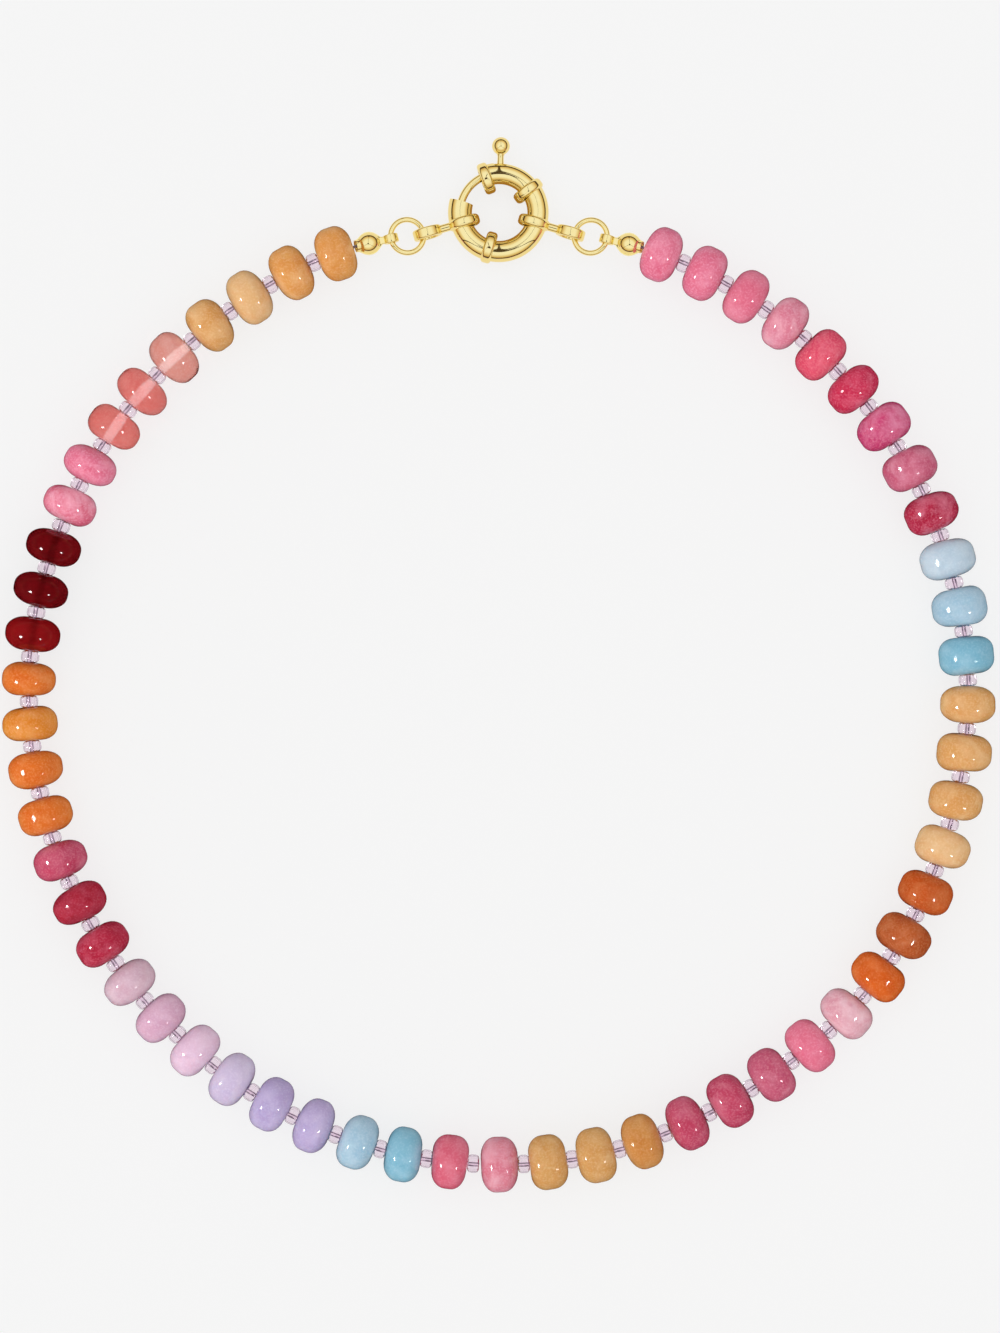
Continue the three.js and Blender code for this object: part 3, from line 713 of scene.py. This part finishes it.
def bent_tube(across, wall, angles, slot=None):
    """An open tube round the clasp's middle, drawn on from angle to angle in degrees, slotted if asked."""
    bm = bmesh.new()
    first = Matrix.Rotation(math.radians(angles[0]), 4, "Z") @ Matrix.Translation((CLASP_RADIUS, 0, 0))
    bmesh.ops.create_circle(bm, segments=36, radius=across / 2,
                            matrix=first @ Matrix.Rotation(math.pi / 2, 4, "X"))
    end = bm.verts[:] + bm.edges[:]
    for start, stop in zip(angles, angles[1:]):
        steps = max(1, round(abs(stop - start) / 3))
        drawn = bmesh.ops.spin(bm, geom=end, axis=(0, 0, 1), angle=math.radians(stop - start), steps=steps)
        end = drawn["geom_last"]
    if slot:
        opening = []
        for face in bm.faces:
            middle = face.calc_center_median()
            turn = math.degrees(math.atan2(middle.y, middle.x))
            outside = math.hypot(middle.x, middle.y) > CLASP_RADIUS
            if outside and abs(middle.z) < SLOT_HALF and slot[0] < turn < slot[1]:
                opening.append(face)
        bmesh.ops.delete(bm, geom=opening, context="FACES")
    bmesh.ops.recalc_face_normals(bm, faces=bm.faces)
    bmesh.ops.solidify(bm, geom=bm.faces[:], thickness=wall)
    return bm


whole = bmesh.new()
slot = (TRIGGER - BOLT_TRAVEL - SLOT_SPREAD, TRIGGER + SLOT_SPREAD)
tube_angles = (LEFT_EYE - 360, slot[0], slot[1], MOUTH)
join(whole, bent_tube(TUBE_ACROSS, TUBE_WALL, tube_angles, slot), Matrix())
join(whole, bent_tube(SLEEVE_ACROSS, SLEEVE_WALL, (SLEEVE_START, LEFT_EYE)), Matrix())
square = Matrix.Rotation(math.pi / 2, 4, "Z")
for turn in (MOUTH, UPPER_WRAP, -math.degrees(EYE_DROP), LEFT_EYE, LOWER_WRAP):
    out = Matrix.Rotation(math.radians(turn), 4, "Z")
    wrap = turned_ring(WRAP_WIDE, TUBE_ACROSS / 2, WRAP_ACROSS / 2, WRAP_CORNER, 0.05 * MM, 64, 8)
    join(whole, wrap, out @ Matrix.Translation((CLASP_RADIUS - WRAP_INWARD, 0, 0)) @ square)
for turn in (-math.degrees(EYE_DROP), LEFT_EYE):
    out = Matrix.Rotation(math.radians(turn), 4, "Z")
    eye = turned_ring(WRAP_WIDE, EYE_ACROSS / 2 - EYE_WALL, EYE_ACROSS / 2, EYE_CORNER, 0.12 * MM, 64, 6)
    join(whole, eye, out @ Matrix.Translation((eye_radius, 0, 0)) @ square)
    neck = bmesh.new()
    bmesh.ops.create_cone(neck, cap_ends=True, segments=28, radius1=EYE_NECK_ACROSS / 2,
                          radius2=EYE_NECK_ACROSS / 2, depth=EYE_NECK + 2 * EYE_WALL,
                          matrix=Matrix.Rotation(math.pi / 2, 4, "Y"))
    join(whole, neck, out @ Matrix.Translation((eye_radius - EYE_ACROSS / 2 - EYE_NECK / 2, 0, 0)))
bmesh.ops.translate(whole, verts=whole.verts, vec=clasp_spot)
body = make_piece("clasp_tube", whole, pale_gold)
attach(body, "necklace")
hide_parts("clasp_body")
metal.objects.link(body)

# Bolt: a thin curved rod that a spring pushes across the clasp's mouth into the sleeve. A stem with a ball
# stands on it, runs in the tube's slot, and is pulled back with a fingernail.
BOLT_ACROSS = 1.15 * MM
BOLT_SEATED = 6.5
BOLT_TAIL = 18
BOLT_CORNER = 0.15 * MM
# The stem's outline from the bolt's middle to the ball: millimetres along and out from the stem's axis
STEM_OUTLINE = ((-0.1, 0.5), (1.6, 0.5), (2.0, 0.46), (2.5, 0.46), (2.8, 0.56), (3.1, 0.78))
KNOB_ACROSS = 2.6 * MM
KNOB_RADIUS = 9.7 * MM
bm = bmesh.new()
first = Matrix.Rotation(math.radians(TRIGGER - BOLT_TAIL), 4, "Z") @ Matrix.Translation((CLASP_RADIUS, 0, 0))
bmesh.ops.create_circle(bm, segments=24, radius=BOLT_ACROSS / 2,
                        matrix=first @ Matrix.Rotation(math.pi / 2, 4, "X"))
reach = math.radians(SLEEVE_START + BOLT_SEATED - TRIGGER + BOLT_TAIL)
bmesh.ops.spin(bm, geom=bm.verts[:] + bm.edges[:], axis=(0, 0, 1), angle=reach, steps=40)
bmesh.ops.holes_fill(bm, edges=[edge for edge in bm.edges if edge.is_boundary])
bmesh.ops.recalc_face_normals(bm, faces=bm.faces)
rims = [edge for edge in bm.edges if any(len(face.edges) > 4 for face in edge.link_faces)]
bmesh.ops.bevel(bm, geom=rims, offset=BOLT_CORNER, segments=3, profile=0.5, affect="EDGES", material=-1)
stem = bmesh.new()
chain = [stem.verts.new((x * MM, 0, r * MM)) for x, r in STEM_OUTLINE]
links = [stem.edges.new(pair) for pair in zip(chain, chain[1:])]
bmesh.ops.spin(stem, geom=chain + links, axis=(1, 0, 0), angle=2 * math.pi, steps=32, use_merge=True)
bmesh.ops.holes_fill(stem, edges=[edge for edge in stem.edges if edge.is_boundary])
bmesh.ops.recalc_face_normals(stem, faces=stem.faces)
out = Matrix.Rotation(math.radians(TRIGGER), 4, "Z")
join(bm, stem, out @ Matrix.Translation((CLASP_RADIUS, 0, 0)))
knob = bmesh.new()
bmesh.ops.create_uvsphere(knob, u_segments=40, v_segments=24, radius=KNOB_ACROSS / 2)
join(bm, knob, out @ Matrix.Translation((KNOB_RADIUS, 0, 0)))
bmesh.ops.translate(bm, verts=bm.verts, vec=clasp_spot)
bolt = make_piece("trigger_bolt", bm, pale_gold)
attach(bolt, "bolt")
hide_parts("clasp_bolt")
metal.objects.link(bolt)
